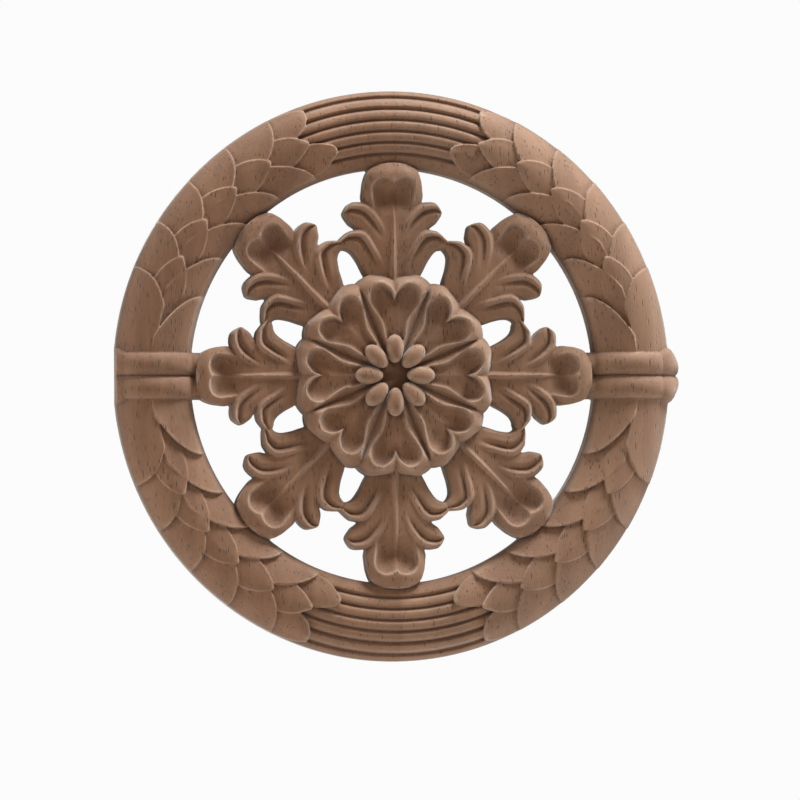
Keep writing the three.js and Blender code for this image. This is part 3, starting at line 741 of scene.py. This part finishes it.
class Nodes:
    """A short way to write a material's nodes."""

    def __init__(self, name):
        self.material = bpy.data.materials.new(name)
        self.material.use_nodes = True
        self.tree = self.material.node_tree
        self.tree.nodes.clear()

    def add(self, kind, inputs=None, **settings):
        node = self.tree.nodes.new(kind)
        for key, value in settings.items():
            setattr(node, key, value)
        for key, value in (inputs or {}).items():
            self.put(node.inputs[key], value)
        return node

    def put(self, socket, value):
        if isinstance(value, bpy.types.NodeSocket):
            self.tree.links.new(value, socket)
        else:
            socket.default_value = value

    def math(self, operation, a, b=0.0):
        return self.add("ShaderNodeMath", {0: a, 1: b}, operation=operation).outputs[0]

    def span(self, value, low, high, to_low=0.0, to_high=1.0, smooth=True):
        kind = "SMOOTHSTEP" if smooth else "LINEAR"
        node = self.add("ShaderNodeMapRange", {0: value, 1: low, 2: high, 3: to_low, 4: to_high},
                        interpolation_type=kind)
        return node.outputs[0]

    def tint(self, factor, a, b):
        node = self.add("ShaderNodeMix", data_type="RGBA")
        self.put(node.inputs[0], factor)
        self.put(node.inputs[6], a)
        self.put(node.inputs[7], b)
        return node.outputs[2]


def opaque(color):
    return tuple(color) + (1,)


class RawWood(Nodes):
    """Sanded hardwood without a finish, its grain upright. Sizes of the grain are in millimetres:
    the first is across the grain and the second along it."""

    bands, fibre, mottle, torn = (9, 140), (0.55, 14), (1.6, 3.2), (0.5, 1.1)
    long_pores, short_pores = (0.75, 4.4), (0.42, 1.7)
    streak = (0.20, 0.085, 0.045)

    def __init__(self, wood):
        super().__init__("raw sanded hardwood")
        self.wood = wood
        self.place = self.add("ShaderNodeTexCoord").outputs["Object"]
        self.x, _, self.z = self.add("ShaderNodeSeparateXYZ", {0: self.place}).outputs

    def stretched(self, size, offset):
        across, along = (1 / (length * MM) for length in size)
        return self.add("ShaderNodeMapping", {0: self.place, 1: (offset, offset, offset),
                                              3: (across, across, along)}).outputs[0]

    def noise(self, size, offset, detail, roughness):
        return self.add("ShaderNodeTexNoise", {"Vector": self.stretched(size, offset), "Scale": 1.0,
                                               "Detail": detail, "Roughness": roughness}).outputs[0]

    def pores(self, size, offset, channel, widths, softness, strength):
        """Dark vessels, each as wide as its chance gives it."""
        cells = self.add("ShaderNodeTexVoronoi", {"Vector": self.stretched(size, offset), "Scale": 1.0},
                         feature="F1")
        chance = self.add("ShaderNodeSeparateColor", {0: cells.outputs["Color"]}).outputs[channel]
        width = self.span(chance, *widths, smooth=False)
        share = self.math("DIVIDE", cells.outputs["Distance"], width)
        return self.span(share, softness, 1.0, strength, 0.0)

    def sanded(self, bands, fibre, mottle):
        """The clean wood: growth bands, paler fibre and darker mottling."""
        color = self.tint(self.span(bands, 0.35, 0.68), opaque(self.wood.body), opaque(self.wood.dark))
        pale = opaque(min(1.0, 1.22 * c) for c in self.wood.body)
        color = self.tint(self.span(fibre, 0.42, 0.75, 0.0, 0.5), color, pale)
        return self.tint(self.span(mottle, 0.3, 0.7, 0.22, 0.0), color, opaque(self.wood.dark))

    def glued(self, color):
        """Two boards glued edge to edge, and a reddish streak beside the joint."""
        right_board = self.span(self.x, 1.2 * MM, 1.5 * MM)
        color = self.tint(self.math("MULTIPLY", right_board, 0.12), color, opaque(self.wood.rim))
        aside = self.math("ABSOLUTE", self.math("SUBTRACT", self.x, 0.2 * MM))
        narrow = self.span(aside, 0.3 * MM, 1.0 * MM, 1.0, 0.0)
        below_top = self.span(self.z, 0.06, 0.075, 1, 0)
        upright = self.math("MULTIPLY", self.span(self.z, -0.03, -0.01), below_top)
        share = self.math("MULTIPLY", self.math("MULTIPLY", narrow, upright), 0.55)
        return self.tint(share, color, opaque(self.streak))

    def light_and_wear(self, color, hollows, ground, mottle, torn):
        """Paler on raised edges, partly sanding wear and partly a painted highlight; darker in hollows and
        low ground, partly dust and partly painted shade.
        """
        # Painted highlight with wear: raised edges are paled towards the worn-edge colour.
        paled = self.math("MULTIPLY", self.span(hollows, 0.12, 0.75, 0.0, 0.6),
                          self.span(mottle, 0.25, 0.6, 0.55, 1.0))
        # Painted shade with dust: hollows and low ground are darkened towards the crevice colour.
        uneven = self.math("ADD", hollows, self.span(torn, 0.3, 0.7, -0.22, 0.22))
        sunk = self.span(uneven, -0.12, -0.95, 0.0, 0.92)
        shaded_and_dusty = self.math("MAXIMUM", sunk, self.span(ground, -0.6, -4.0, 0.0, 0.7))
        color = self.tint(paled, color, opaque(self.wood.rim))
        return self.tint(shaded_and_dusty, color, opaque(self.wood.crevice_shade_and_dust))

    def build(self):
        bands = self.noise(self.bands, 0.0, 3.0, 0.55)
        fibre = self.noise(self.fibre, 7.0, 4.0, 0.65)
        mottle = self.noise(self.mottle, 3.0, 3.0, 0.6)
        torn = self.noise(self.torn, 11.0, 2.0, 0.6)
        pores = self.math("MAXIMUM", self.pores(self.long_pores, 0.0, 0, (0.15, 1.0, 0.08, 0.38), 0.6, 1.0),
                          self.pores(self.short_pores, 5.0, 1, (0.4, 1.0, 0.03, 0.35), 0.5, 0.65))
        hollows, ground = (self.add("ShaderNodeAttribute", attribute_name=name).outputs["Fac"]
                           for name in ("hollows", "ground"))

        color = self.glued(self.sanded(bands, fibre, mottle))
        color = self.light_and_wear(color, hollows, ground, mottle, torn)
        color = self.tint(self.math("MULTIPLY", pores, 0.85), color, opaque(self.wood.pore))

        roughest = self.span(hollows, 0.0, -0.5, 0.25, 1.0)
        ragged = self.math("MULTIPLY", self.math("MULTIPLY", torn, roughest), 0.9)
        raised = self.math("ADD", self.math("MULTIPLY", fibre, 0.35), ragged)
        height = self.math("SUBTRACT", raised, pores)
        bump = self.add("ShaderNodeBump", {"Strength": 0.8, "Distance": 0.15 * MM, "Height": height})
        shader = self.add("ShaderNodeBsdfPrincipled", {
            "Base Color": color, "Roughness": self.wood.roughness, "Specular IOR Level": 0.5,
            "Normal": bump.outputs[0],
            "Sheen Weight": 0.65, "Sheen Roughness": 0.5, "Sheen Tint": (1, 0.96, 0.91, 1)})
        self.add("ShaderNodeOutputMaterial", {"Surface": shader.outputs[0]})
        return self.material


def plain(name, color, roughness):
    n = Nodes(name)
    shader = n.add("ShaderNodeBsdfPrincipled", {"Base Color": color, "Roughness": roughness})
    n.add("ShaderNodeOutputMaterial", {"Surface": shader.outputs[0]})
    return n.material


NEUTRAL, WARM = (1, 1, 1), (1, 0.84, 0.68)
# A key light above on the right, and softer panels round the board like the sides of a tent. Each
# has its place and size in metres and its power in watts.
LIGHTS = (
    ("key", (0.47, -0.18, 1.08), 0.5, 24, NEUTRAL),
    ("right panel", (1.15, -0.12, -0.25), 0.6, 4.5, NEUTRAL),
    ("left panel", (-1.15, -0.12, 0.25), 0.7, 6.5, NEUTRAL),
    ("lower panel", (-0.35, -0.15, -0.5), 0.4, 0.5, NEUTRAL),
    ("front fill", (0.3, -1.8, 0.7), 0.9, 2.2, WARM),
)


class APPLIQUE_OT_stage(bpy.types.Operator):
    """Set the floor, the soft lights and the camera"""
    bl_idname = "applique.stage"
    bl_label = "Stage"

    azimuth, elevation, roll, distance, sensor = -8.0, -2.5, 0.45, 2.5, 36
    frame_width = 0.2809  # what the picture takes in at the board
    picture = 800  # pixels each way
    middle = (390.9, 376.7)  # where the ring's middle stands in the picture
    floor_size, floor_level = 3, -0.6
    room_color, room_light, backdrop_light = (1, 0.82, 0.66, 1), 0.2, 0.97

    def light(self, name, place, size, power, color):
        lamp = bpy.data.lights.new(name, "AREA")
        lamp.shape = "DISK"
        lamp.size = size
        lamp.energy = power
        lamp.color = color
        holder = bpy.data.objects.new(name, lamp)
        holder.location = place
        holder.rotation_euler = (-Vector(place)).to_track_quat("-Z", "Y").to_euler()
        holder.visible_camera = False
        bpy.context.scene.collection.objects.link(holder)

    def floor(self):
        deselect()
        bpy.ops.mesh.primitive_plane_add(size=self.floor_size, location=(0, 0, self.floor_level))
        floor = bpy.context.active_object
        floor.name = "floor"
        bpy.ops.object.transform_apply(location=True, rotation=True, scale=True)
        floor.data.materials.append(plain("pale floor", (0.8, 0.8, 0.79, 1), 0.8))

    def studio(self):
        """A dim warm room, and a white backdrop that only the camera sees."""
        world = bpy.data.worlds.new("studio")
        world.use_nodes = True
        tree = world.node_tree
        ambient = tree.nodes["Background"]
        ambient.inputs[0].default_value = self.room_color
        ambient.inputs[1].default_value = self.room_light
        backdrop = tree.nodes.new("ShaderNodeBackground")
        backdrop.inputs[0].default_value = (1, 1, 1, 1)
        backdrop.inputs[1].default_value = self.backdrop_light
        seen = tree.nodes.new("ShaderNodeLightPath")
        blend = tree.nodes.new("ShaderNodeMixShader")
        tree.links.new(seen.outputs["Is Camera Ray"], blend.inputs[0])
        tree.links.new(ambient.outputs[0], blend.inputs[1])
        tree.links.new(backdrop.outputs[0], blend.inputs[2])
        tree.links.new(blend.outputs[0], tree.nodes["World Output"].inputs[0])
        bpy.context.scene.world = world
        bpy.context.scene.view_settings.view_transform = "Standard"

    def camera(self):
        turned, raised = math.radians(self.azimuth), math.radians(self.elevation)
        toward = Vector((math.sin(turned) * math.cos(raised), -math.cos(turned) * math.cos(raised),
                         math.sin(raised)))
        turn = toward.to_track_quat("Z", "Y").to_matrix()
        spin = math.radians(self.roll)
        right = turn.col[0] * math.cos(spin) - turn.col[1] * math.sin(spin)
        up = turn.col[0] * math.sin(spin) + turn.col[1] * math.cos(spin)
        pixel = self.frame_width / self.picture
        half = self.picture / 2
        target = right * (half - self.middle[0]) * pixel - up * (half - self.middle[1]) * pixel
        lens = bpy.data.cameras.new("camera")
        lens.lens = self.sensor * self.distance / self.frame_width
        lens.sensor_width = self.sensor
        lens.clip_end = 20
        camera = bpy.data.objects.new("camera", lens)
        camera.matrix_world = Matrix((right, up, toward)).transposed().to_4x4()
        camera.location = target + toward * self.distance
        bpy.context.scene.collection.objects.link(camera)
        bpy.context.scene.camera = camera

    def execute(self, context):
        self.floor()
        for row in LIGHTS:
            self.light(*row)
        self.studio()
        self.camera()
        return {"FINISHED"}


class APPLIQUE_PT_panel(bpy.types.Panel):
    """Sizes, colours and steps of the carving"""
    bl_label = "Applique"
    bl_idname = "APPLIQUE_PT_panel"
    bl_space_type = "VIEW_3D"
    bl_region_type = "UI"
    bl_category = "Applique"

    def draw(self, context):
        for group in (context.scene.applique_sizes, context.scene.applique_wood):
            box = self.layout.box()
            for name in group.bl_rna.properties.keys():
                if name not in ("name", "rna_type"):
                    box.prop(group, name)
        for step in STEPS:
            self.layout.operator(step.bl_idname)


STEPS = (APPLIQUE_OT_wreath, APPLIQUE_OT_straps, APPLIQUE_OT_leaves, APPLIQUE_OT_flower, APPLIQUE_OT_sand,
         APPLIQUE_OT_stage)
CLASSES = (AppliqueSizes, AppliqueWood) + STEPS + (APPLIQUE_PT_panel,)


def register():
    for cls in CLASSES:
        bpy.utils.register_class(cls)
    bpy.types.Scene.applique_sizes = PointerProperty(type=AppliqueSizes)
    bpy.types.Scene.applique_wood = PointerProperty(type=AppliqueWood)


def unregister():
    del bpy.types.Scene.applique_wood
    del bpy.types.Scene.applique_sizes
    for cls in reversed(CLASSES):
        bpy.utils.unregister_class(cls)


def main():
    register()
    for step in STEPS:
        group, name = step.bl_idname.split(".")
        getattr(getattr(bpy.ops, group), name)()


if __name__ == "__main__":
    main()
